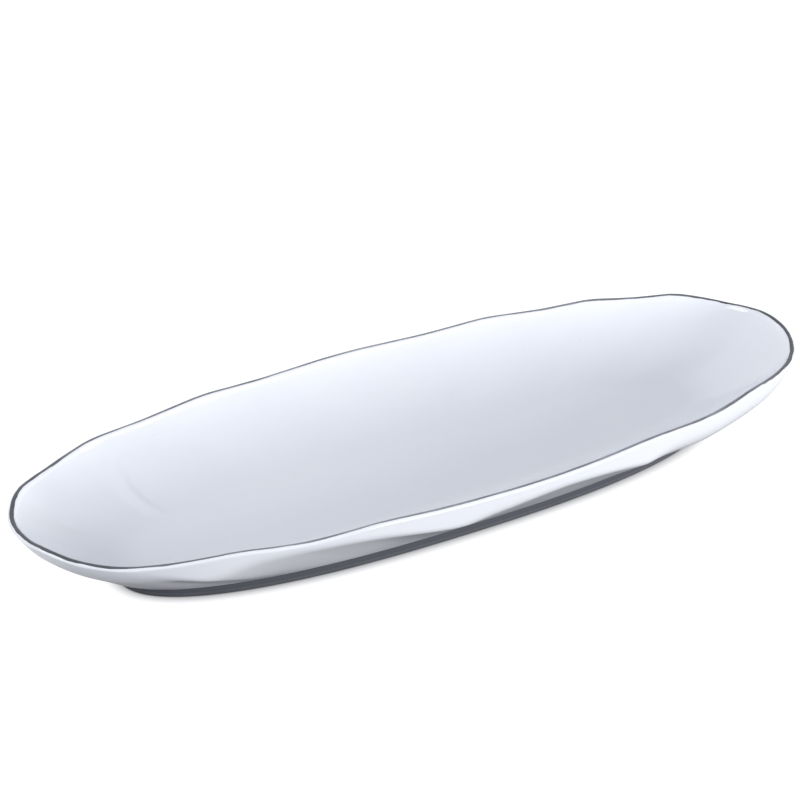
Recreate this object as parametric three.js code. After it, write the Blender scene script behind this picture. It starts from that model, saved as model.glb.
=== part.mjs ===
import * as THREE from 'three';

// An oval serving platter in glazed porcelain: a faceted shell with a well for food,
// a dark fired band on its lip and a foot ring under its base. Millimetres, +Z up.
// The origin is on the table, under the middle of the oval. +X runs along the platter.

// Overall size, to the outside of the lip and the top of the band on a ridge
const LENGTH = 380;
const WIDTH = 142;
const HEIGHT = 37;

// Plan: fullness of the oval (2 is an ellipse), and how much further the base draws in at the ends
const OVAL_FULLNESS = 2.4;
const END_DRAW = 9.5;

// Band on the flat crown of the lip, and the round shoulders of the lip on both sides of it
const BAND_WIDTH = 2.4;
const BAND_HEIGHT = 0.6;
const LIP_SHOULDER = 0.4;
const SEAT_GAP = 0.3;

// Wall: the upright part below the lip, and the facets that turn in under it to the base
const UPRIGHT_DEPTH = 11;
const UPRIGHT_LEAN = 0.1;
const WALL_BASE_INSET = 25.5;
const KNEE_SOFTNESS = 2.5;

// Well: floor thickness, how far the flat floor lies in from the lip, and the flare of the wall above it
const FLOOR_THICKNESS = 5;
const FLOOR_INSET = 44;
const WELL_FLARE = 5;

// Foot ring, set back a little under the edge of the base and further at the ends
const FOOT_HEIGHT = 6.7;
const FOOT_WIDTH = 6;
const FOOT_SETBACK = 2.5;
const FOOT_END_SETBACK = 4.5;
const FOOT_ROUNDING = 1.4;

// A facet of mean width in its middle: rise of its top edge, and swell of the well's wall
const ARCH_RISE = 5.6;
const WELL_SWELL = 1.2;
const RIDGE_SOFTNESS = 0.1;

// A wave of the lip of mean width: its dip
const LIP_DIP = 1.7;
const LIP_CORNER_SOFTNESS = 0.2;

// Corners of the wavy lip, and ridges between facets at the lip, in degrees round the oval.
// They are unequal and don't all line up, as on hand-pared ware. Ridges lean round by the slant on
// their way down to the base.
const LIP_CORNERS = [0, 33, 52, 71, 90, 108, 130, 156, 190, 235, 255, 290, 313];
const RIDGE_ANGLES = [0, 33, 52, 71, 90, 108, 130, 156, 190, 229, 260, 286, 309, 333];
const RIDGE_SLANT = 9;
const STEPS_PER_FACET = 8;

// Heights and the lip's thickness, which follow from the sizes above
const CROWN_Z = HEIGHT - BAND_HEIGHT - SEAT_GAP;
const BASE_Z = FOOT_HEIGHT + SEAT_GAP;
const FLOOR_Z = BASE_Z + FLOOR_THICKNESS;
const SHOULDER_Z = CROWN_Z - LIP_SHOULDER;
const KNEE_Z = SHOULDER_Z - UPRIGHT_DEPTH;
const LIP_THICKNESS = BAND_WIDTH + 2 * LIP_SHOULDER;

// Number of levels along each stretch of a section
const INNER_LEVELS = 9;
const OUTER_LEVELS = 11;
const ROUND_LEVELS = 3;
const BAND_LEVELS = 6;

// How hollow a span between two corners is at an angle in degrees: 0 at a corner, and in mid-span
// as much as the span is wide, where 1 is the mean width
function spanHollow(degrees, corners, softness) {
  const turned = THREE.MathUtils.euclideanModulo(degrees, 360);
  const span = corners.findLastIndex((corner) => corner <= turned);
  const end = span + 1 < corners.length ? corners[span + 1] : corners[0] + 360;
  const width = end - corners[span];
  const fromCorner = 1 - Math.abs((2 * (turned - corners[span])) / width - 1);
  const softened = Math.hypot(fromCorner, softness) - softness;
  return ((width * corners.length) / 360) * (1 - (1 - softened) ** 2);
}

// Columns round the oval: the angle of each at the lip, and the hollow of its facet
function roundTheOval() {
  const columns = [];
  RIDGE_ANGLES.forEach((start, i) => {
    const end = i + 1 < RIDGE_ANGLES.length ? RIDGE_ANGLES[i + 1] : RIDGE_ANGLES[0] + 360;
    for (let step = 0; step < STEPS_PER_FACET; step += 1) {
      const degrees = start + ((end - start) * step) / STEPS_PER_FACET;
      columns.push({ degrees, hollow: spanHollow(degrees, RIDGE_ANGLES, RIDGE_SOFTNESS) });
    }
  });
  return columns;
}

// How far up the wall a level is: 0 at the base, 1 at the shoulder of the lip and above
function heightShare(level) {
  return THREE.MathUtils.clamp((level - BASE_Z) / (SHOULDER_Z - BASE_Z), 0, 1);
}

// A point of a column at a level, the given distance in from the edge of the lip. Lower levels lean
// further round and draw in further at the ends, and higher ones follow the wave of the lip more.
function ovalPoint({ degrees }, inset, level) {
  const bulge = (value) => Math.sign(value) * Math.abs(value) ** (2 / OVAL_FULLNESS);
  const share = heightShare(level);
  const leant = degrees + RIDGE_SLANT * (1 - share);
  const angle = THREE.MathUtils.degToRad(leant);
  const endInset = inset + END_DRAW * (1 - share) + (level < BASE_Z ? FOOT_END_SETBACK : 0);
  const x = (LENGTH / 2 - endInset) * bulge(Math.cos(angle));
  const y = (WIDTH / 2 - inset) * bulge(Math.sin(angle));
  const wave = LIP_DIP * spanHollow(leant, LIP_CORNERS, LIP_CORNER_SOFTNESS);
  return new THREE.Vector3(x, y, level - wave * share ** 2);
}

// The larger of two values, rounded over where they are closer than the given softness
function softMaximum(a, b, softness) {
  const closeness = Math.max(softness - Math.abs(a - b), 0) / softness;
  return Math.max(a, b) + (softness * closeness ** 3) / 6;
}

// A station of a section: its level, and its inset for a given hollow of the facet.
// This one has the same inset all round.
function plainStation([inset, level]) {
  return { level, insetAt: () => inset };
}

// A station of the well's wall, which swells between floor and lip in the middle of each facet
function wellStation(point, share) {
  const swell = WELL_SWELL * Math.sin(Math.PI * share);
  return { level: point.y, insetAt: (hollow) => point.x + swell * hollow };
}

// A station of the outer wall: upright under the lip, then a facet that turns in towards the base.
// The edge between the two rises in an arch over each facet.
function outerStation(level) {
  const upright = UPRIGHT_LEAN * (SHOULDER_Z - level);
  const turnedIn = (hollow) => {
    const kneeZ = KNEE_Z + ARCH_RISE * hollow;
    return (WALL_BASE_INSET * (kneeZ - level)) / (kneeZ - BASE_Z);
  };
  return { level, insetAt: (hollow) => softMaximum(upright, turnedIn(hollow), KNEE_SOFTNESS) };
}

// Points of a quarter round between two directions, given in degrees
function quarterRound(centreInset, centreZ, radius, from, to) {
  const points = [];
  for (let i = 0; i < ROUND_LEVELS; i += 1) {
    const turn = THREE.MathUtils.degToRad(from + ((to - from) * i) / (ROUND_LEVELS - 1));
    points.push([centreInset + radius * Math.cos(turn), centreZ + radius * Math.sin(turn)]);
  }
  return points;
}

// Rings of points, one for each station of a section
function ringsOf(stations) {
  const columns = roundTheOval();
  return stations.map(({ level, insetAt }) =>
    columns.map((column) => ovalPoint(column, insetAt(column.hollow), level)),
  );
}

// Triangles between neighbouring rings. Rings run anticlockwise, and the section runs so that
// the solid lies on its right hand.
function skinRings(rings, closed) {
  const count = rings[0].length;
  const triangles = [];
  const bands = closed ? rings.length : rings.length - 1;
  for (let i = 0; i < bands; i += 1) {
    const lower = (i % rings.length) * count;
    const upper = ((i + 1) % rings.length) * count;
    for (let j = 0; j < count; j += 1) {
      const next = (j + 1) % count;
      triangles.push(lower + j, upper + j, upper + next);
      triangles.push(lower + j, upper + next, lower + next);
    }
  }
  return triangles;
}

function geometryFrom(points, triangles) {
  const geometry = new THREE.BufferGeometry().setFromPoints(points);
  geometry.setIndex(triangles);
  geometry.computeVertexNormals();
  return geometry;
}

// A solid whose section closes on itself, such as a ring
function ringSolid(stations) {
  const rings = ringsOf(stations);
  return geometryFrom(rings.flat(), skinRings(rings, true));
}

// A solid whose section runs from a flat top at its middle, over its edge, to a flat underside
function dishSolid(stations, topZ, undersideZ) {
  const rings = ringsOf(stations);
  const count = rings[0].length;
  const points = rings.flat();
  const triangles = skinRings(rings, false);
  const top = points.push(new THREE.Vector3(0, 0, topZ)) - 1;
  const underside = points.push(new THREE.Vector3(0, 0, undersideZ)) - 1;
  const lastRing = (rings.length - 1) * count;
  for (let j = 0; j < count; j += 1) {
    const next = (j + 1) % count;
    triangles.push(top, j, next);
    triangles.push(underside, lastRing + next, lastRing + j);
  }
  return geometryFrom(points, triangles);
}

// The shell: floor, inner wall, lip with a flat crown for the band, faceted outer wall and base
function platterShell() {
  const innerWall = new THREE.CubicBezierCurve(
    new THREE.Vector2(FLOOR_INSET, FLOOR_Z),
    new THREE.Vector2(WALL_BASE_INSET, FLOOR_Z),
    new THREE.Vector2(LIP_THICKNESS + WELL_FLARE, KNEE_Z),
    new THREE.Vector2(LIP_THICKNESS, SHOULDER_Z),
  );
  const wallPoints = innerWall.getPoints(INNER_LEVELS);
  const stations = wallPoints.map((point, i) => wellStation(point, i / INNER_LEVELS));
  const innerShoulder = quarterRound(LIP_THICKNESS - LIP_SHOULDER, SHOULDER_Z, LIP_SHOULDER, 0, 90);
  const outerShoulder = quarterRound(LIP_SHOULDER, SHOULDER_Z, LIP_SHOULDER, 90, 180);
  stations.push(...[...innerShoulder.slice(1), ...outerShoulder].map(plainStation));
  for (let i = 1; i <= OUTER_LEVELS; i += 1) {
    stations.push(outerStation(SHOULDER_Z + ((BASE_Z - SHOULDER_Z) * i) / OUTER_LEVELS));
  }
  return dishSolid(stations, FLOOR_Z, BASE_Z);
}

// The band: half-round on top, flat where it sits on the crown of the lip
function rimBand() {
  const seatZ = CROWN_Z + SEAT_GAP;
  const stations = [];
  for (let i = 0; i <= BAND_LEVELS; i += 1) {
    const turn = (Math.PI * i) / BAND_LEVELS;
    const inset = LIP_THICKNESS / 2 + (BAND_WIDTH / 2) * Math.cos(turn);
    stations.push(plainStation([inset, seatZ + BAND_HEIGHT * Math.sin(turn)]));
  }
  return ringSolid(stations);
}

// The foot ring: a plain oval with a rounded tread, seated under the edge of the base
function footRing() {
  const outer = WALL_BASE_INSET + FOOT_SETBACK;
  const inner = outer + FOOT_WIDTH;
  const treadOuter = quarterRound(outer + FOOT_ROUNDING, FOOT_ROUNDING, FOOT_ROUNDING, 180, 270);
  const treadInner = quarterRound(inner - FOOT_ROUNDING, FOOT_ROUNDING, FOOT_ROUNDING, 270, 360);
  const section = [[inner, FOOT_HEIGHT], [outer, FOOT_HEIGHT], ...treadOuter, ...treadInner];
  return ringSolid(section.map(plainStation));
}

function glazedPorcelain() {
  return new THREE.MeshStandardMaterial({ color: 0xf3f4f7, roughness: 0.12, metalness: 0 });
}

function firedGraphiteBand() {
  return new THREE.MeshStandardMaterial({ color: 0x3f4147, roughness: 0.35, metalness: 0 });
}

function unglazedPorcelain() {
  return new THREE.MeshStandardMaterial({ color: 0x8e9096, roughness: 0.7, metalness: 0 });
}

function named(name, geometry, material) {
  const mesh = new THREE.Mesh(geometry, material);
  mesh.name = name;
  return mesh;
}

const platter = new THREE.Group();
platter.add(named('platter_shell', platterShell(), glazedPorcelain()));
platter.add(named('rim_band', rimBand(), firedGraphiteBand()));
platter.add(named('foot_ring', footRing(), unglazedPorcelain()));

export default platter;
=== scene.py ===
import math

import bpy
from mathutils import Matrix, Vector


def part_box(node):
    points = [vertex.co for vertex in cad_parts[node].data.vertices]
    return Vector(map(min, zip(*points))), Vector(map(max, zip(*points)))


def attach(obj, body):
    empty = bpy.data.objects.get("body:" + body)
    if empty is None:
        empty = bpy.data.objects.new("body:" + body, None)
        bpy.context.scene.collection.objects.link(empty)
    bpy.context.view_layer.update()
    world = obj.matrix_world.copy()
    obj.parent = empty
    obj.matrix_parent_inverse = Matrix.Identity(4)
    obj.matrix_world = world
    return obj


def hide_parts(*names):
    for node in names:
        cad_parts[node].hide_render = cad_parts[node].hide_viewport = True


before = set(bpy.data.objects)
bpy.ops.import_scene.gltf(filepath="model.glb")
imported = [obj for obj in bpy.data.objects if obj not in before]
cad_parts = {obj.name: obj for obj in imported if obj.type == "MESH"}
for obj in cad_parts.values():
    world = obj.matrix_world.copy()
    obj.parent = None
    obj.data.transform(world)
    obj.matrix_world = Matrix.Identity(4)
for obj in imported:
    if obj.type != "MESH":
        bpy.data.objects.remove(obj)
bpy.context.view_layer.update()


# Platter shell
# One thick porcelain body, cast in a plaster mould and pared by hand into fourteen unequal facets.
# A clear glaze is fired over all of it, down to the foot: upright and bright under the lip,
# and dark where each facet turns in to the base.

MM = 0.001
shell_low, shell_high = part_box("platter_shell")
band_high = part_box("rim_band")[1]

# Angles round the oval in degrees, anticlockwise from its right tip: the corners of the lip's wave,
# and the ridges between the facets, where they reach the lip.
LIP_CORNERS = [0, 33, 52, 71, 90, 108, 130, 156, 190, 235, 255, 290, 313]
RIDGE_ANGLES = [0, 33, 52, 71, 90, 108, 130, 156, 190, 224, 262, 286, 309, 333]
FACETS = len(RIDGE_ANGLES)
LIP_CORNER_SOFTNESS = 0.2
WIDEST_WAVE = 2.0
WAVE_POINTS = 10

# A low fold in the clay inside the left end: its angle at the lip and at the floor, and how far it reaches
# to each side.
FOLD_HEAD = 127.5
FOLD_FOOT = 134
FOLD_REACH = 3.5

COLUMNS_PER_FACET = 52
FLOOR_ROWS = 6
INNER_WALL_ROWS = 34
LIP_ROWS = 12
OUTER_WALL_ROWS = 48
WALL_CURVE_STEPS = 48
SEAM_TOLERANCE = 0.03 * MM
SHARP_EDGE = math.radians(40)
OVAL_FULLNESS = 2.4
LIP_SHOULDER = 0.4 * MM
FLOOR_THICKNESS = 5 * MM
BAND_COAT = 0.1 * MM

oval_sizes = {
    "Half Length": shell_high.x,
    "Half Width": shell_high.y,
    "Oval Power": 2 / OVAL_FULLNESS,
    "End Draw": 9.5 * MM,
    "Base Height": shell_low.z,
    "Shoulder Height": shell_high.z - LIP_SHOULDER,
    "Lip Dip": 1.7 * MM,
    "Ridge Softness": 0.1,
    "Ridge Slant": 9 / 360,
}
lip_sizes = {
    "Lip Thickness": 3.2 * MM,
    "Lip Rise": band_high.z - BAND_COAT - oval_sizes["Shoulder Height"],
}
shell_sizes = oval_sizes | lip_sizes | {
    "Upright Depth": 10.2 * MM,
    "Upright Lean": 0.1,
    "Wall Base Inset": 25.5 * MM,
    "Knee Softness": 4 * MM,
    "Right End Depth": 12.5 * MM,
    "Right End Softness": 18 * MM,
    "Left End Depth": 6.5 * MM,
    "Left End Softness": 10 * MM,
    "Arch Rise": 5.3 * MM,
    "Well Swell": 1.8 * MM,
    "Fold Height": 1.0 * MM,
    "Well Flare": 5 * MM,
    "Floor Height": shell_low.z + FLOOR_THICKNESS,
    "Floor Inset": 44 * MM,
}


def colour(code):
    """Linear colour of an sRGB hex value."""
    channels = [int(code[i:i + 2], 16) / 255 for i in (1, 3, 5)]
    linear = [c / 12.92 if c <= 0.04045 else ((c + 0.055) / 1.055) ** 2.4 for c in channels]
    return (*linear, 1.0)


def add_node(tree, kind, links=None, **settings):
    """A new node with its settings. An input gets a value, or follows a socket, a node's first output
    or a list of these."""
    node = tree.nodes.new(kind)
    for name, value in settings.items():
        setattr(node, name, value)
    for place, given in (links or {}).items():
        for source in given if isinstance(given, list) else [given]:
            if isinstance(source, bpy.types.Node):
                source = source.outputs[0]
            if isinstance(source, bpy.types.NodeSocket):
                tree.links.new(source, node.inputs[place])
            else:
                node.inputs[place].default_value = source
    return node


# A Mix node has sockets of the same names for every kind of value, so its colour sockets go by number.
MIX_FROM, MIX_TO, MIX_RESULT = 6, 7, 2


def tree_with_inputs(name, inputs, outputs):
    """A tree with named number inputs and named outputs: the tree, its inputs and its output node."""
    tree = bpy.data.node_groups.new(name, "GeometryNodeTree")
    for label in inputs:
        tree.interface.new_socket(label, in_out="INPUT", socket_type="NodeSocketFloat")
    for label, kind in outputs.items():
        tree.interface.new_socket(label, in_out="OUTPUT", socket_type=kind)
    given = tree.nodes.new("NodeGroupInput").outputs
    return tree, given, tree.nodes.new("NodeGroupOutput")


# Where a column of the mesh stands: its turn round the oval at the lip, and how hollow its facet is there,
# 0 on a ridge and in mid-facet as much as the facet is wide, where 1 is the mean width. Right End and
# Left End are 1 round that tip of the oval and 0 along its sides: each starts, and is whole, at so many
# degrees.
ENDS = {"Right End": (76, 58), "Left End": (180 - 49, 180 - 23)}
facet_outputs = dict.fromkeys(["Turn", "Hollow", *ENDS], "NodeSocketFloat")
facet_place, given, result = tree_with_inputs("facet_place", ["Round", "Ridge Softness"], facet_outputs)
facets_passed = add_node(facet_place, "ShaderNodeMath", {0: given["Round"], 1: FACETS}, operation="MULTIPLY")
whole = add_node(facet_place, "ShaderNodeMath", {0: facets_passed}, operation="FLOOR")
facet = add_node(facet_place, "ShaderNodeMath", {0: whole, 1: FACETS - 1}, operation="MINIMUM")
along = add_node(facet_place, "ShaderNodeMath", {0: facets_passed, 1: facet}, operation="SUBTRACT")
facet_start = add_node(facet_place, "GeometryNodeIndexSwitch", {"Index": facet}, data_type="FLOAT")
facet_width = add_node(facet_place, "GeometryNodeIndexSwitch", {"Index": facet}, data_type="FLOAT")
for number, (start, end) in enumerate(zip(RIDGE_ANGLES, [*RIDGE_ANGLES[1:], 360])):
    for switch, angle in ((facet_start, start), (facet_width, end - start)):
        if number == len(switch.index_switch_items):
            switch.index_switch_items.new()
        switch.inputs[str(number)].default_value = angle / 360
turn = add_node(
    facet_place, "ShaderNodeMath", {0: along, 1: facet_width, 2: facet_start}, operation="MULTIPLY_ADD"
)
half_facets = add_node(facet_place, "ShaderNodeMath", {0: along, 1: 2.0}, operation="MULTIPLY")
from_ridge = add_node(facet_place, "ShaderNodeMath", {0: half_facets, 1: 1.0}, operation="PINGPONG")
softness = given["Ridge Softness"]
beside_ridge = add_node(facet_place, "ShaderNodeCombineXYZ", {"X": from_ridge, "Y": softness})
rounded = add_node(facet_place, "ShaderNodeVectorMath", {0: beside_ridge}, operation="LENGTH")
softened = add_node(
    facet_place, "ShaderNodeMath", {0: rounded.outputs["Value"], 1: softness}, operation="SUBTRACT"
)
short_of_middle = add_node(facet_place, "ShaderNodeMath", {0: 1.0, 1: softened}, operation="SUBTRACT")
squared = add_node(facet_place, "ShaderNodeMath", {0: short_of_middle, 1: 2.0}, operation="POWER")
scooped = add_node(facet_place, "ShaderNodeMath", {0: 1.0, 1: squared}, operation="SUBTRACT")
width_share = add_node(facet_place, "ShaderNodeMath", {0: facet_width, 1: FACETS}, operation="MULTIPLY")
hollow = add_node(facet_place, "ShaderNodeMath", {0: scooped, 1: width_share}, operation="MULTIPLY")
angle = add_node(facet_place, "ShaderNodeMath", {0: turn, 1: 2 * math.pi}, operation="MULTIPLY")
lengthwise = add_node(facet_place, "ShaderNodeMath", {0: angle}, operation="COSINE")
for name, (start, whole) in ENDS.items():
    end = add_node(facet_place, "ShaderNodeMapRange", {
        "Value": lengthwise,
        "From Min": math.cos(math.radians(start)),
        "From Max": math.cos(math.radians(whole)),
    }, interpolation_type="SMOOTHSTEP")
    facet_place.links.new(end.outputs[0], result.inputs[name])
facet_place.links.new(turn.outputs[0], result.inputs["Turn"])
facet_place.links.new(hollow.outputs[0], result.inputs["Hollow"])

# A point of the oval at a turn and a level, some way in from the lip, or only part of the way out to there.
# Lower levels lean further round and draw in further at the ends, and higher ones follow the wave of the lip
# more. The wave is deepest between two corners, in proportion to how far apart they are.
oval_point, given, result = tree_with_inputs(
    "oval_point", ["Turn", "Inset", "Level", "Reach", *oval_sizes], {"Position": "NodeSocketVector"}
)
lean = add_node(oval_point, "ShaderNodeMapRange", {
    "Value": given["Level"],
    "From Min": given["Base Height"],
    "From Max": given["Shoulder Height"],
    "To Min": given["Ridge Slant"],
    "To Max": 0.0,
})
leant = add_node(oval_point, "ShaderNodeMath", {0: given["Turn"], 1: lean}, operation="ADD")
angle = add_node(oval_point, "ShaderNodeMath", {0: leant, 1: 2 * math.pi}, operation="MULTIPLY")
cosine = add_node(oval_point, "ShaderNodeMath", {0: angle}, operation="COSINE")
sine = add_node(oval_point, "ShaderNodeMath", {0: angle}, operation="SINE")
circle = add_node(oval_point, "ShaderNodeCombineXYZ", {"X": cosine, "Y": sine})
quarter = add_node(oval_point, "ShaderNodeVectorMath", {0: circle}, operation="ABSOLUTE")
fuller = add_node(
    oval_point, "ShaderNodeVectorMath", {0: quarter, 1: given["Oval Power"]}, operation="POWER"
)
side = add_node(oval_point, "ShaderNodeVectorMath", {0: circle}, operation="SIGN")
full_circle = add_node(oval_point, "ShaderNodeVectorMath", {0: fuller, 1: side}, operation="MULTIPLY")
end_draw = add_node(oval_point, "ShaderNodeMapRange", {
    "Value": given["Level"],
    "From Min": given["Base Height"],
    "From Max": given["Shoulder Height"],
    "To Min": given["End Draw"],
    "To Max": 0.0,
})
end_inset = add_node(oval_point, "ShaderNodeMath", {0: given["Inset"], 1: end_draw}, operation="ADD")
reach_x = add_node(
    oval_point, "ShaderNodeMath", {0: given["Half Length"], 1: end_inset}, operation="SUBTRACT"
)
reach_y = add_node(
    oval_point, "ShaderNodeMath", {0: given["Half Width"], 1: given["Inset"]}, operation="SUBTRACT"
)
half_sizes = add_node(oval_point, "ShaderNodeCombineXYZ", {"X": reach_x, "Y": reach_y})
oval = add_node(oval_point, "ShaderNodeVectorMath", {0: full_circle, 1: half_sizes}, operation="MULTIPLY")
plan = add_node(
    oval_point, "ShaderNodeVectorMath", {0: oval, "Scale": given["Reach"]}, operation="SCALE"
)
wave_turn = add_node(oval_point, "ShaderNodeMath", {0: leant}, operation="FRACT")
lip_wave = add_node(oval_point, "ShaderNodeFloatCurve", {"Value": wave_turn})
wave_points = lip_wave.mapping.curves[0].points
wave_points[1].location.y = 0.0
for corner, next_corner in zip(LIP_CORNERS, [*LIP_CORNERS[1:], 360]):
    width = (next_corner - corner) / 360
    for step in range(WAVE_POINTS):
        from_corner = 1 - abs(2 * step / WAVE_POINTS - 1)
        softened = math.hypot(from_corner, LIP_CORNER_SOFTNESS) - LIP_CORNER_SOFTNESS
        depth = width * len(LIP_CORNERS) * (1 - (1 - softened) ** 2)
        if corner + step > 0:
            wave_points.new(corner / 360 + width * step / WAVE_POINTS, depth / WIDEST_WAVE)
lip_wave.mapping.update()
height_share = add_node(oval_point, "ShaderNodeMapRange", {
    "Value": given["Level"],
    "From Min": given["Base Height"],
    "From Max": given["Shoulder Height"],
})
wave_share = add_node(oval_point, "ShaderNodeMath", {0: height_share, 1: 2.0}, operation="POWER")
whole_wave = add_node(oval_point, "ShaderNodeMath", {0: wave_share, 1: lip_wave}, operation="MULTIPLY")
wave_here = add_node(oval_point, "ShaderNodeMath", {0: whole_wave, 1: given["Reach"]}, operation="MULTIPLY")
deepest = add_node(
    oval_point, "ShaderNodeMath", {0: given["Lip Dip"], 1: WIDEST_WAVE}, operation="MULTIPLY"
)
dip = add_node(oval_point, "ShaderNodeMath", {0: wave_here, 1: deepest}, operation="MULTIPLY")
height = add_node(oval_point, "ShaderNodeMath", {0: given["Level"], 1: dip}, operation="SUBTRACT")
rise = add_node(oval_point, "ShaderNodeCombineXYZ", {"Z": height})
position = add_node(oval_point, "ShaderNodeVectorMath", {0: plan, 1: rise}, operation="ADD")
oval_point.links.new(position.outputs[0], result.inputs["Position"])


def skin(tree, sizes, rows, section):
    """One stretch of a section, carried round the oval. section gives inset, level and reach
    for the share of the way along the stretch and the place on its facet."""
    columns = FACETS * COLUMNS_PER_FACET
    grid = add_node(tree, "GeometryNodeMeshGrid", {"Vertices X": columns + 1, "Vertices Y": rows + 1})
    place = add_node(tree, "ShaderNodeSeparateXYZ", {0: grid.outputs["UV Map"]})
    column = {"Round": place.outputs["X"], "Ridge Softness": sizes["Ridge Softness"]}
    facet = add_node(tree, "GeometryNodeGroup", column, node_tree=facet_place)
    inset, level, reach = section(tree, sizes, place.outputs["Y"], facet.outputs)
    shared_sizes = {label: sizes[label] for label in oval_sizes}
    there = {"Turn": facet.outputs["Turn"], "Inset": inset, "Level": level, "Reach": reach}
    point = add_node(tree, "GeometryNodeGroup", there | shared_sizes, node_tree=oval_point)
    return add_node(tree, "GeometryNodeSetPosition", {"Geometry": grid, "Position": point})


def close_and_glaze(tree, result, stretches, material):
    """Joins the stretches into one closed skin with its faces out, and gives it its material."""
    joined = add_node(tree, "GeometryNodeJoinGeometry", {"Geometry": stretches})
    closed = add_node(tree, "GeometryNodeMergeByDistance", {"Geometry": joined, "Distance": SEAM_TOLERANCE})
    outward = add_node(tree, "GeometryNodeFlipFaces", {"Mesh": closed})
    smooth = add_node(tree, "GeometryNodeSetShadeSmooth", {"Geometry": outward, "Shade Smooth": True})
    real = add_node(tree, "GeometryNodeRealizeInstances", {"Geometry": smooth})
    finished = add_node(tree, "GeometryNodeSetMaterial", {"Geometry": real, "Material": material})
    tree.links.new(finished.outputs[0], result.inputs["Mesh"])


def grow(name, tree, sizes):
    """The tree's result at these sizes, as a plain mesh object."""
    piece = bpy.data.objects.new(name, bpy.data.meshes.new(name))
    bpy.context.scene.collection.objects.link(piece)
    modifier = piece.modifiers.new(name, "NODES")
    modifier.node_group = tree
    for socket in tree.interface.items_tree:
        if socket.in_out == "INPUT":
            modifier[socket.identifier] = sizes[socket.name]
    grown = piece.evaluated_get(bpy.context.evaluated_depsgraph_get())
    mesh = bpy.data.meshes.new_from_object(grown)
    piece.modifiers.remove(modifier)
    piece.data = mesh
    mesh.set_sharp_from_angle(angle=SHARP_EDGE)
    return piece


def eased_to_ends(tree, facet, along_sides, round_right, round_left):
    """A size that changes smoothly from its value along the sides to those round the two ends."""
    eased = along_sides
    for end, round_end in (("Right End", round_right), ("Left End", round_left)):
        eased = add_node(
            tree, "ShaderNodeMapRange", {"Value": facet[end], "To Min": eased, "To Max": round_end}
        )
    return eased


def floor_section(tree, sizes, share, facet):
    """The flat floor of the well, from its middle out to where the wall starts to rise."""
    return sizes["Floor Inset"], sizes["Floor Height"], share


def inner_wall_section(tree, sizes, share, facet):
    """The inside of the wall: one long curve up to the lip, which swells a little in mid-facet,
    with the fold on it."""
    shoulder = sizes["Shoulder Height"]
    knee = add_node(tree, "ShaderNodeMath", {0: shoulder, 1: sizes["Upright Depth"]}, operation="SUBTRACT")
    under_lip = add_node(
        tree, "ShaderNodeMath", {0: sizes["Lip Thickness"], 1: sizes["Well Flare"]}, operation="ADD"
    )
    corners = {
        "Start": (sizes["Floor Inset"], sizes["Floor Height"]),
        "Start Handle": (sizes["Wall Base Inset"], sizes["Floor Height"]),
        "End Handle": (under_lip, knee),
        "End": (sizes["Lip Thickness"], shoulder),
    }
    points = {
        name: add_node(tree, "ShaderNodeCombineXYZ", {"X": inset, "Y": level})
        for name, (inset, level) in corners.items()
    }
    points["Resolution"] = WALL_CURVE_STEPS
    curve = add_node(tree, "GeometryNodeCurvePrimitiveBezierSegment", points)
    along = add_node(tree, "GeometryNodeSampleCurve", {"Curves": curve, "Factor": share})
    place = add_node(tree, "ShaderNodeSeparateXYZ", {0: along.outputs["Position"]})
    up_and_down = add_node(tree, "ShaderNodeMath", {0: share, 1: math.pi}, operation="MULTIPLY")
    mid_wall = add_node(tree, "ShaderNodeMath", {0: up_and_down}, operation="SINE")
    bulge = add_node(tree, "ShaderNodeMath", {0: mid_wall, 1: sizes["Well Swell"]}, operation="MULTIPLY")
    smooth_inset, smooth_level = place.outputs["X"], place.outputs["Y"]
    swollen = add_node(
        tree, "ShaderNodeMath", {0: bulge, 1: facet["Hollow"], 2: smooth_inset}, operation="MULTIPLY_ADD"
    )
    fold_turn = add_node(
        tree, "ShaderNodeMapRange", {"Value": share, "To Min": FOLD_FOOT / 360, "To Max": FOLD_HEAD / 360}
    )
    off_fold = add_node(tree, "ShaderNodeMath", {0: facet["Turn"], 1: fold_turn}, operation="SUBTRACT")
    from_fold = add_node(tree, "ShaderNodeMath", {0: off_fold}, operation="ABSOLUTE")
    on_fold = add_node(tree, "ShaderNodeMapRange", {
        "Value": from_fold,
        "From Max": FOLD_REACH / 360,
        "To Min": 1.0,
        "To Max": 0.0,
    }, interpolation_type="SMOOTHSTEP")
    fading_fold = add_node(tree, "ShaderNodeMath", {0: on_fold, 1: mid_wall}, operation="MULTIPLY")
    raised = add_node(
        tree, "ShaderNodeMath", {0: fading_fold, 1: sizes["Fold Height"]}, operation="MULTIPLY"
    )
    inset = add_node(tree, "ShaderNodeMath", {0: raised, 1: swollen}, operation="ADD")
    level = add_node(tree, "ShaderNodeMath", {0: raised, 1: smooth_level}, operation="ADD")
    return inset, level, 1.0


def lip_section(tree, sizes, share, facet):
    """The round lip, from its inner to its outer shoulder."""
    turn = add_node(tree, "ShaderNodeMath", {0: share, 1: math.pi}, operation="MULTIPLY")
    across = add_node(tree, "ShaderNodeMath", {0: turn}, operation="COSINE")
    up = add_node(tree, "ShaderNodeMath", {0: turn}, operation="SINE")
    half = add_node(tree, "ShaderNodeMath", {0: sizes["Lip Thickness"], 1: 2.0}, operation="DIVIDE")
    inset = add_node(tree, "ShaderNodeMath", {0: across, 1: half, 2: half}, operation="MULTIPLY_ADD")
    rise, shoulder = sizes["Lip Rise"], sizes["Shoulder Height"]
    level = add_node(tree, "ShaderNodeMath", {0: up, 1: rise, 2: shoulder}, operation="MULTIPLY_ADD")
    return inset, level, 1.0


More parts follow.
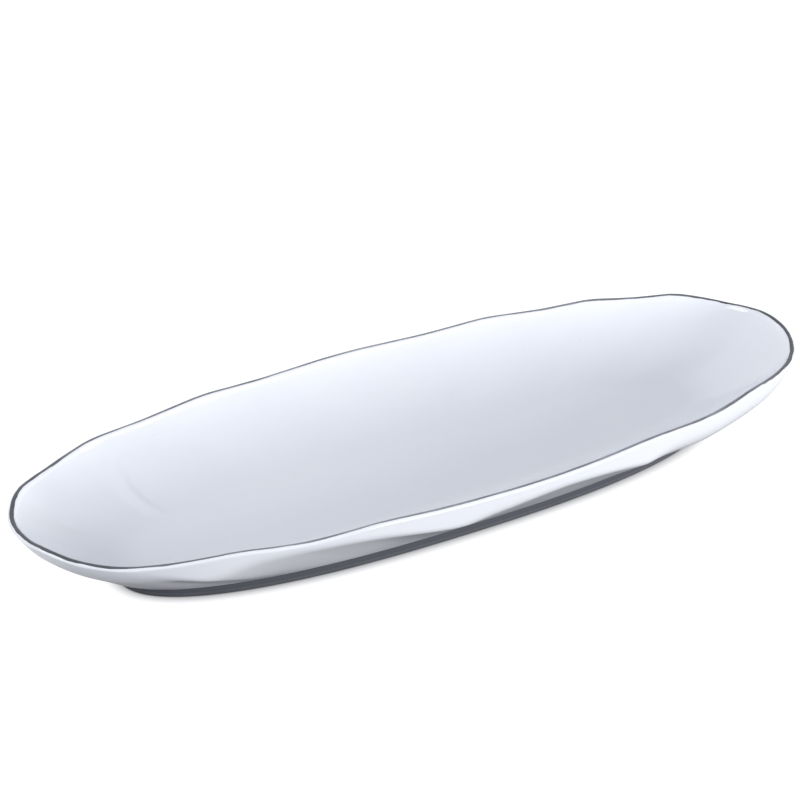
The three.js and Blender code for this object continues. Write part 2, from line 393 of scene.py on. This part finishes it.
def outer_wall_section(tree, sizes, share, facet):
    """The outside of the wall: upright under the lip, then a facet that turns in towards the base.
    The edge between the two rises in an arch over each facet, and runs level and soft round the ends."""
    shoulder = sizes["Shoulder Height"]
    level = add_node(
        tree, "ShaderNodeMapRange", {"Value": share, "To Min": shoulder, "To Max": sizes["Base Height"]}
    )
    below_lip = add_node(tree, "ShaderNodeMath", {0: shoulder, 1: level}, operation="SUBTRACT")
    lean = sizes["Upright Lean"]
    upright = add_node(tree, "ShaderNodeMath", {0: below_lip, 1: lean}, operation="MULTIPLY")
    ridge_knee, right_knee, left_knee = [
        add_node(tree, "ShaderNodeMath", {0: shoulder, 1: sizes[depth]}, operation="SUBTRACT")
        for depth in ("Upright Depth", "Right End Depth", "Left End Depth")
    ]
    arch = {0: facet["Hollow"], 1: sizes["Arch Rise"], 2: ridge_knee}
    arched_knee = add_node(tree, "ShaderNodeMath", arch, operation="MULTIPLY_ADD")
    knee = eased_to_ends(tree, facet, arched_knee, right_knee, left_knee)
    softness = eased_to_ends(
        tree, facet, sizes["Knee Softness"], sizes["Right End Softness"], sizes["Left End Softness"]
    )
    turned_in = add_node(tree, "ShaderNodeMapRange", {
        "Value": level,
        "From Min": knee,
        "From Max": sizes["Base Height"],
        "To Max": sizes["Wall Base Inset"],
    }, clamp=False)
    inset = add_node(
        tree, "ShaderNodeMath", {0: upright, 1: turned_in, 2: softness}, operation="SMOOTH_MAX"
    )
    return inset, level, 1.0


def base_section(tree, sizes, share, facet):
    """The flat underside, from the foot of the wall in to the middle."""
    reach = add_node(tree, "ShaderNodeMath", {0: 1.0, 1: share}, operation="SUBTRACT")
    return sizes["Wall Base Inset"], sizes["Base Height"], reach


# Glazed porcelain: a white body under a clear glaze that flowed in the kiln. It gives a soft white with a
# cool tinge where the glaze is thick, sharp reflections that waver a little, and a rare pale speck.
GLAZE_WAVE = 14 * MM
GLAZE_WAVE_DEPTH = 0.03 * MM
GLAZE_PEEL = 1.5 * MM
GLAZE_PEEL_DEPTH = 0.002 * MM
GLAZE_CLOUD = 60 * MM
SPECK_SPACING = 9 * MM
SPECK_RADIUS = 0.25 * MM
SPECK_STRENGTH = 0.35
GLAZE_ROUGHNESS = (0.08, 0.14)

glazed_porcelain = bpy.data.materials.new("glazed_porcelain")
glazed_porcelain.use_nodes = True
glaze = glazed_porcelain.node_tree
glaze_shader = glaze.nodes["Principled BSDF"]
glaze_shader.inputs["IOR"].default_value = 1.52
place = add_node(glaze, "ShaderNodeTexCoord").outputs["Object"]
cloud = add_node(glaze, "ShaderNodeTexNoise", {"Vector": place, "Scale": 1 / GLAZE_CLOUD, "Detail": 3.0})
thick_and_thin = add_node(glaze, "ShaderNodeMix", {
    "Factor": cloud,
    MIX_FROM: colour("#eef0f5"),
    MIX_TO: colour("#f4f5f8"),
}, data_type="RGBA")
specks = add_node(glaze, "ShaderNodeTexVoronoi", {"Vector": place, "Scale": 1 / SPECK_SPACING})
in_speck = add_node(glaze, "ShaderNodeMath", {
    0: specks.outputs["Distance"],
    1: SPECK_RADIUS / SPECK_SPACING,
}, operation="LESS_THAN")
speck_strength = add_node(glaze, "ShaderNodeMath", {0: in_speck, 1: SPECK_STRENGTH}, operation="MULTIPLY")
body = add_node(glaze, "ShaderNodeMix", {
    "Factor": speck_strength,
    MIX_FROM: thick_and_thin.outputs[MIX_RESULT],
    MIX_TO: colour("#b3aca3"),
}, data_type="RGBA")
smoothest, roughest = GLAZE_ROUGHNESS
gloss = add_node(glaze, "ShaderNodeMapRange", {"Value": cloud, "To Min": smoothest, "To Max": roughest})
wave = add_node(glaze, "ShaderNodeTexNoise", {"Vector": place, "Scale": 1 / GLAZE_WAVE, "Detail": 1.0})
peel = add_node(glaze, "ShaderNodeTexNoise", {"Vector": place, "Scale": 1 / GLAZE_PEEL, "Detail": 1.0})
wavy = add_node(glaze, "ShaderNodeBump", {"Height": wave, "Distance": GLAZE_WAVE_DEPTH})
peeled = add_node(glaze, "ShaderNodeBump", {"Height": peel, "Distance": GLAZE_PEEL_DEPTH, "Normal": wavy})
glaze.links.new(body.outputs[MIX_RESULT], glaze_shader.inputs["Base Color"])
glaze.links.new(gloss.outputs[0], glaze_shader.inputs["Roughness"])
glaze.links.new(peeled.outputs[0], glaze_shader.inputs["Normal"])

shell_tree, given, result = tree_with_inputs("platter_shell", shell_sizes, {"Mesh": "NodeSocketGeometry"})
shell_stretches = [
    skin(shell_tree, given, FLOOR_ROWS, floor_section),
    skin(shell_tree, given, INNER_WALL_ROWS, inner_wall_section),
    skin(shell_tree, given, LIP_ROWS, lip_section),
    skin(shell_tree, given, OUTER_WALL_ROWS, outer_wall_section),
    skin(shell_tree, given, FLOOR_ROWS, base_section),
]
close_and_glaze(shell_tree, result, shell_stretches, glazed_porcelain)
shell = grow("glazed_shell", shell_tree, shell_sizes)
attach(shell, "root")
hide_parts("platter_shell")


# Rim band
# A line of graphite-grey colour, brushed by hand along the top of the lip and fired on. It is a thin coat
# that feathers out at both edges and follows every dip of the rim: wide and dark round the two ends,
# thin and dry along the sides.

BAND_ROWS = 10
STROKES = 60
band_sizes = oval_sizes | lip_sizes | {
    "Side Width": 1.6 * MM,
    "End Width": 2.3 * MM,
    "Edge Wander": 0.7,
    "Band Coat": BAND_COAT,
    "Band Bond": 0.05 * MM,
}


def lip_arch(tree, sizes, share, facet, thickness):
    """A point over the lip from one edge of the band to the other, raised by some thickness. The band is
    widest round the ends, and its edges wander as the brush did, each by itself."""
    across = add_node(tree, "ShaderNodeMapRange", {"Value": share, "To Min": 1.0, "To Max": -1.0})
    half_lip = add_node(tree, "ShaderNodeMath", {0: sizes["Lip Thickness"], 1: 2.0}, operation="DIVIDE")
    angle = add_node(tree, "ShaderNodeMath", {0: facet["Turn"], 1: 2 * math.pi}, operation="MULTIPLY")
    cosine = add_node(tree, "ShaderNodeMath", {0: angle}, operation="COSINE")
    sine = add_node(tree, "ShaderNodeMath", {0: angle}, operation="SINE")
    round_the_rim = add_node(tree, "ShaderNodeCombineXYZ", {"X": cosine, "Y": sine, "Z": across})
    brush = add_node(tree, "ShaderNodeTexNoise", {
        "Vector": round_the_rim,
        "Scale": STROKES / (2 * math.pi),
        "Detail": 2.0,
    })
    lean = add_node(tree, "ShaderNodeMath", {0: brush, 1: 0.5}, operation="SUBTRACT")
    wander = sizes["Edge Wander"]
    half_width = add_node(tree, "ShaderNodeMath", {0: lean, 1: wander, 2: 0.5}, operation="MULTIPLY_ADD")
    width = eased_to_ends(tree, facet, sizes["Side Width"], sizes["End Width"], sizes["End Width"])
    half_band = add_node(tree, "ShaderNodeMath", {0: half_width, 1: width}, operation="MULTIPLY")
    offset = add_node(tree, "ShaderNodeMath", {0: across, 1: half_band}, operation="MULTIPLY")
    lip_cosine = add_node(tree, "ShaderNodeMath", {0: offset, 1: half_lip}, operation="DIVIDE")
    lip_turn = add_node(tree, "ShaderNodeMath", {0: lip_cosine}, operation="ARCCOSINE")
    up = add_node(tree, "ShaderNodeMath", {0: lip_turn}, operation="SINE")
    rise, shoulder = sizes["Lip Rise"], sizes["Shoulder Height"]
    on_lip = add_node(tree, "ShaderNodeMath", {0: up, 1: rise, 2: shoulder}, operation="MULTIPLY_ADD")
    level = add_node(tree, "ShaderNodeMath", {0: on_lip, 1: thickness}, operation="ADD")
    inset = add_node(tree, "ShaderNodeMath", {0: half_lip, 1: offset}, operation="ADD")
    return inset, level, 1.0


def band_top_section(tree, sizes, share, facet):
    """The top of the coat, thickest over the middle of the lip."""
    angle = add_node(tree, "ShaderNodeMath", {0: share, 1: math.pi}, operation="MULTIPLY")
    swell = add_node(tree, "ShaderNodeMath", {0: angle}, operation="SINE")
    coat = add_node(tree, "ShaderNodeMath", {0: sizes["Band Coat"], 1: sizes["Band Bond"]}, operation="ADD")
    thick = add_node(tree, "ShaderNodeMath", {0: swell, 1: coat}, operation="MULTIPLY")
    thickness = add_node(tree, "ShaderNodeMath", {0: thick, 1: sizes["Band Bond"]}, operation="SUBTRACT")
    return lip_arch(tree, sizes, share, facet, thickness)


def band_underside_section(tree, sizes, share, facet):
    """The underside of the coat, bonded a little way into the glaze."""
    back = add_node(tree, "ShaderNodeMath", {0: 1.0, 1: share}, operation="SUBTRACT")
    sunk = add_node(tree, "ShaderNodeMath", {0: sizes["Band Bond"], 1: -1.0}, operation="MULTIPLY")
    return lip_arch(tree, sizes, back, facet, sunk)


# Fired graphite colour: a satin ceramic pigment, brushed on and fired into the glaze. It gives a dark
# blue-grey line, densest where the brush was loaded at the two ends, and paler where it ran dry.
BRUSH_PATCH = 16 * MM
DRY_REACH = 110 * MM
LOADED_REACH = 180 * MM
LOADED_DRYNESS = 0.15
PATCH_RANGE = (0.3, 0.7)
LEAST_DRY = 0.3
SATIN_ROUGHNESS = (0.3, 0.5)

fired_graphite = bpy.data.materials.new("fired_graphite_colour")
fired_graphite.use_nodes = True
band_finish = fired_graphite.node_tree
band_shader = band_finish.nodes["Principled BSDF"]
band_shader.inputs["IOR"].default_value = 1.5
place = add_node(band_finish, "ShaderNodeTexCoord").outputs["Object"]
patch = add_node(
    band_finish, "ShaderNodeTexNoise", {"Vector": place, "Scale": 1 / BRUSH_PATCH, "Detail": 4.0}
)
along = add_node(band_finish, "ShaderNodeSeparateXYZ", {0: place}).outputs["X"]
from_middle = add_node(band_finish, "ShaderNodeMath", {0: along}, operation="ABSOLUTE")
dryness = add_node(band_finish, "ShaderNodeMapRange", {
    "Value": from_middle,
    "From Min": DRY_REACH,
    "From Max": LOADED_REACH,
    "To Min": 1.0,
    "To Max": LOADED_DRYNESS,
})
dry_patch = add_node(band_finish, "ShaderNodeMapRange", {
    "Value": patch,
    "From Min": PATCH_RANGE[0],
    "From Max": PATCH_RANGE[1],
    "To Min": LEAST_DRY,
})
thin_here = add_node(band_finish, "ShaderNodeMath", {0: dry_patch, 1: dryness}, operation="MULTIPLY")
brushed = add_node(band_finish, "ShaderNodeMix", {
    "Factor": thin_here,
    MIX_FROM: colour("#3a3d43"),
    MIX_TO: colour("#989aa0"),
}, data_type="RGBA")
smoothest, roughest = SATIN_ROUGHNESS
satin = add_node(
    band_finish, "ShaderNodeMapRange", {"Value": patch, "To Min": smoothest, "To Max": roughest}
)
band_finish.links.new(brushed.outputs[MIX_RESULT], band_shader.inputs["Base Color"])
band_finish.links.new(satin.outputs[0], band_shader.inputs["Roughness"])

band_tree, given, result = tree_with_inputs("rim_band", band_sizes, {"Mesh": "NodeSocketGeometry"})
band_stretches = [
    skin(band_tree, given, BAND_ROWS, band_top_section),
    skin(band_tree, given, BAND_ROWS, band_underside_section),
]
close_and_glaze(band_tree, result, band_stretches, fired_graphite)
band = grow("fired_band", band_tree, band_sizes)
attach(band, "root")
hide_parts("rim_band")


# Foot ring
# An oval ring of the same porcelain, stuck under the base with slip. Its dark grey is painted shade: in the
# photo it is far darker than shade alone makes a white foot, so the shade under the overhanging wall is
# painted into its colour. Its tread is wiped clean of glaze before firing, so that it doesn't stick to the
# kiln shelf, and stays matt.

foot_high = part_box("foot_ring")[1]
FOOT_WIDTH = 6 * MM
FOOT_TAPER = 0.6 * MM
FOOT_BOND = 0.2 * MM
FOOT_ROWS = 40
FOOT_CORNER_STEPS = 8
FOOT_END_SETBACK = 4.5 * MM
foot_sizes = oval_sizes | {
    "End Draw": oval_sizes["End Draw"] + FOOT_END_SETBACK,
    "Outer Inset": shell_high.y - foot_high.y,
    "Inner Inset": shell_high.y - foot_high.y + FOOT_WIDTH,
    "Taper": FOOT_TAPER,
    "Top Height": shell_low.z + FOOT_BOND,
    "Rounding": 1.4 * MM,
}


def foot_section(tree, sizes, share, facet):
    """Right round the ring's section: a bar with round corners, a little narrower at the tread."""
    outer_tread = add_node(
        tree, "ShaderNodeMath", {0: sizes["Outer Inset"], 1: sizes["Taper"]}, operation="ADD"
    )
    inner_tread = add_node(
        tree, "ShaderNodeMath", {0: sizes["Inner Inset"], 1: sizes["Taper"]}, operation="SUBTRACT"
    )
    corners = [
        (sizes["Inner Inset"], sizes["Top Height"]),
        (sizes["Outer Inset"], sizes["Top Height"]),
        (outer_tread, 0.0),
        (inner_tread, 0.0),
    ]
    points = {
        f"Point {number}": add_node(tree, "ShaderNodeCombineXYZ", {"X": inset, "Y": level})
        for number, (inset, level) in enumerate(corners, start=1)
    }
    bar = add_node(tree, "GeometryNodeCurvePrimitiveQuadrilateral", points, mode="POINTS")
    rounded = add_node(tree, "GeometryNodeFilletCurve", {
        "Curve": bar,
        "Radius": sizes["Rounding"],
        "Count": FOOT_CORNER_STEPS,
    }, mode="POLY")
    along = add_node(tree, "GeometryNodeSampleCurve", {"Curves": rounded, "Factor": share})
    place = add_node(tree, "ShaderNodeSeparateXYZ", {0: along.outputs["Position"]})
    return place.outputs["X"], place.outputs["Y"], 1.0


# Porcelain painted dark for shade: the fired body, coloured dark grey to stand for the shade under the wall.
# At the tread it is bare, with a fine dry tooth, and rubbed darker in patches where it slides on tables.
# Above the glaze line it is smooth and catches a thin streak of light.
BISCUIT_GRIT = 0.5 * MM
BISCUIT_GRIT_DEPTH = 0.02 * MM
RUBBED_PATCH = 12 * MM
GLAZE_LINE = 2.2 * MM
GLAZE_LINE_BLUR = 0.2 * MM
BARE_ROUGHNESS = 0.75
GLAZED_ROUGHNESS = 0.12

porcelain_painted_dark_for_shade = bpy.data.materials.new("porcelain_painted_dark_for_shade")
porcelain_painted_dark_for_shade.use_nodes = True
biscuit = porcelain_painted_dark_for_shade.node_tree
biscuit_shader = biscuit.nodes["Principled BSDF"]
biscuit_shader.inputs["IOR"].default_value = 1.5
place = add_node(biscuit, "ShaderNodeTexCoord").outputs["Object"]
height = add_node(biscuit, "ShaderNodeSeparateXYZ", {0: place}).outputs["Z"]
glazed_above = add_node(biscuit, "ShaderNodeMapRange", {
    "Value": height,
    "From Min": GLAZE_LINE - GLAZE_LINE_BLUR,
    "From Max": GLAZE_LINE + GLAZE_LINE_BLUR,
})
rubbed = add_node(
    biscuit, "ShaderNodeTexNoise", {"Vector": place, "Scale": 1 / RUBBED_PATCH, "Detail": 5.0}
)
# The greys of the bare tread and of the glazed side are painted shade: the foot in the shade under the wall.
bare = add_node(biscuit, "ShaderNodeMix", {
    "Factor": rubbed,
    MIX_FROM: colour("#63656c"),
    MIX_TO: colour("#52545b"),
}, data_type="RGBA")
foot_colour = add_node(biscuit, "ShaderNodeMix", {
    "Factor": glazed_above,
    MIX_FROM: bare.outputs[MIX_RESULT],
    MIX_TO: colour("#595b62"),
}, data_type="RGBA")
foot_gloss = add_node(biscuit, "ShaderNodeMapRange", {
    "Value": glazed_above,
    "To Min": BARE_ROUGHNESS,
    "To Max": GLAZED_ROUGHNESS,
})
grit = add_node(biscuit, "ShaderNodeTexNoise", {"Vector": place, "Scale": 1 / BISCUIT_GRIT, "Detail": 2.0})
tooth = add_node(biscuit, "ShaderNodeBump", {"Height": grit, "Distance": BISCUIT_GRIT_DEPTH})
biscuit.links.new(foot_colour.outputs[MIX_RESULT], biscuit_shader.inputs["Base Color"])
biscuit.links.new(foot_gloss.outputs[0], biscuit_shader.inputs["Roughness"])
biscuit.links.new(tooth.outputs[0], biscuit_shader.inputs["Normal"])

foot_tree, given, result = tree_with_inputs("foot_ring", foot_sizes, {"Mesh": "NodeSocketGeometry"})
close_and_glaze(foot_tree, result, [skin(foot_tree, given, FOOT_ROWS, foot_section)], porcelain_painted_dark_for_shade)
foot = grow("porcelain_foot", foot_tree, foot_sizes)
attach(foot, "root")
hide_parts("foot_ring")


# Table and studio
# A plain table that shows white to the camera and keeps the platter's shadow; its glow has painted shade
# close round the foot.
# Two softboxes light it, one at the left and one low at the right, with an even cool fill from all round.

TABLE_HALF = 4.0
TABLE_GLOW = 0.87
CONTACT_REACH = 5 * MM
UNDERSIDE_REACH = 40 * MM
table_mesh = bpy.data.meshes.new("table")
table_corners = [(x * TABLE_HALF, y * TABLE_HALF, 0.0) for x, y in ((-1, -1), (1, -1), (1, 1), (-1, 1))]
table_mesh.from_pydata(table_corners, [], [(0, 1, 2, 3)])
table = bpy.data.objects.new("table", table_mesh)
bpy.context.scene.collection.objects.link(table)

pale_table = bpy.data.materials.new("pale_table")
pale_table.use_nodes = True
table_finish = pale_table.node_tree
table_finish.nodes.remove(table_finish.nodes["Principled BSDF"])
table_end = table_finish.nodes["Material Output"]
pale = add_node(table_finish, "ShaderNodeBsdfDiffuse", {"Color": colour("#98999c")})
ray = add_node(table_finish, "ShaderNodeLightPath")
# The glow is dimmed by ambient occlusion as painted shade: close round the foot for the camera, and further
# in under the wall in reflections.
near_shade, far_shade = [
    add_node(table_finish, "ShaderNodeAmbientOcclusion", {"Distance": reach}).outputs["AO"]
    for reach in (CONTACT_REACH, UNDERSIDE_REACH)
]
seen = add_node(
    table_finish, "ShaderNodeMath", {0: ray.outputs["Is Camera Ray"], 1: near_shade}, operation="MULTIPLY"
)
mirrored = add_node(table_finish, "ShaderNodeMath", {
    0: ray.outputs["Is Glossy Ray"],
    1: ray.outputs["Is Transmission Ray"],
}, operation="ADD", use_clamp=True)
seen_or_mirrored = add_node(table_finish, "ShaderNodeMath", {
    0: mirrored,
    1: far_shade,
    2: seen,
}, operation="MULTIPLY_ADD", use_clamp=True)
glow_strength = add_node(
    table_finish, "ShaderNodeMath", {0: seen_or_mirrored, 1: TABLE_GLOW}, operation="MULTIPLY"
)
glow = add_node(table_finish, "ShaderNodeEmission", {"Strength": glow_strength})
both = add_node(table_finish, "ShaderNodeAddShader", {0: pale, 1: glow})
table_finish.links.new(both.outputs[0], table_end.inputs["Surface"])
table_mesh.materials.append(pale_table)

FILL = 0.47
world = bpy.data.worlds.new("white_studio")
bpy.context.scene.world = world
world.use_nodes = True
studio = world.node_tree
background = studio.nodes["Background"]
ray = add_node(studio, "ShaderNodeLightPath")
seen = add_node(studio, "ShaderNodeMath", {
    0: ray.outputs["Is Camera Ray"],
    1: ray.outputs["Is Glossy Ray"],
}, operation="ADD")
seen_or_through = add_node(studio, "ShaderNodeMath", {
    0: seen,
    1: ray.outputs["Is Transmission Ray"],
}, operation="ADD", use_clamp=True)
strength = add_node(studio, "ShaderNodeMapRange", {"Value": seen_or_through, "To Min": FILL, "To Max": 1.0})
tint = add_node(studio, "ShaderNodeMix", {
    "Factor": seen_or_through,
    MIX_FROM: colour("#eaf0ff"),
    MIX_TO: colour("#ffffff"),
}, data_type="RGBA")
studio.links.new(strength.outputs[0], background.inputs["Strength"])
studio.links.new(tint.outputs[MIX_RESULT], background.inputs["Color"])


def direction_from(azimuth, elevation):
    """The way out from the platter to a lamp or camera. Azimuth 0 is in front, on the -Y side."""
    a, e = math.radians(azimuth), math.radians(elevation)
    return Vector((math.sin(a) * math.cos(e), -math.cos(a) * math.cos(e), math.sin(e)))


# Azimuth and elevation in degrees, width and height in metres, power in watts
SOFTBOX_DISTANCE = 2.0
SOFTBOXES = {
    "left_softbox": (-100, 30, 1.2, 1.2, 21),
    "low_right_softbox": (32, 10, 1.3, 0.68, 33.5),
}
for name, (azimuth, elevation, wide, tall, power) in SOFTBOXES.items():
    lamp = bpy.data.lights.new(name, "AREA")
    lamp.shape = "RECTANGLE"
    lamp.size = wide
    lamp.size_y = tall
    lamp.energy = power
    softbox = bpy.data.objects.new(name, lamp)
    way = direction_from(azimuth, elevation)
    softbox.location = way * SOFTBOX_DISTANCE
    softbox.rotation_euler = way.to_track_quat("Z", "Y").to_euler()
    bpy.context.scene.collection.objects.link(softbox)


# Camera
# It stands in front and to the left, well above the rim, with a long lens.

VIEW_AZIMUTH = -30.97
VIEW_ELEVATION = 28.38
VIEW_DISTANCE = 1285.3 * MM
VIEW_AIM = Vector((-5.9, 8.2, 43.1)) * MM
VIEW_LENS = 133.8
camera_data = bpy.data.cameras.new("camera")
camera_data.lens = VIEW_LENS
camera = bpy.data.objects.new("camera", camera_data)
view_way = direction_from(VIEW_AZIMUTH, VIEW_ELEVATION)
camera.location = VIEW_AIM + view_way * VIEW_DISTANCE
camera.rotation_euler = view_way.to_track_quat("Z", "Y").to_euler()
bpy.context.scene.collection.objects.link(camera)
bpy.context.scene.camera = camera
bpy.context.scene.view_settings.view_transform = "Standard"
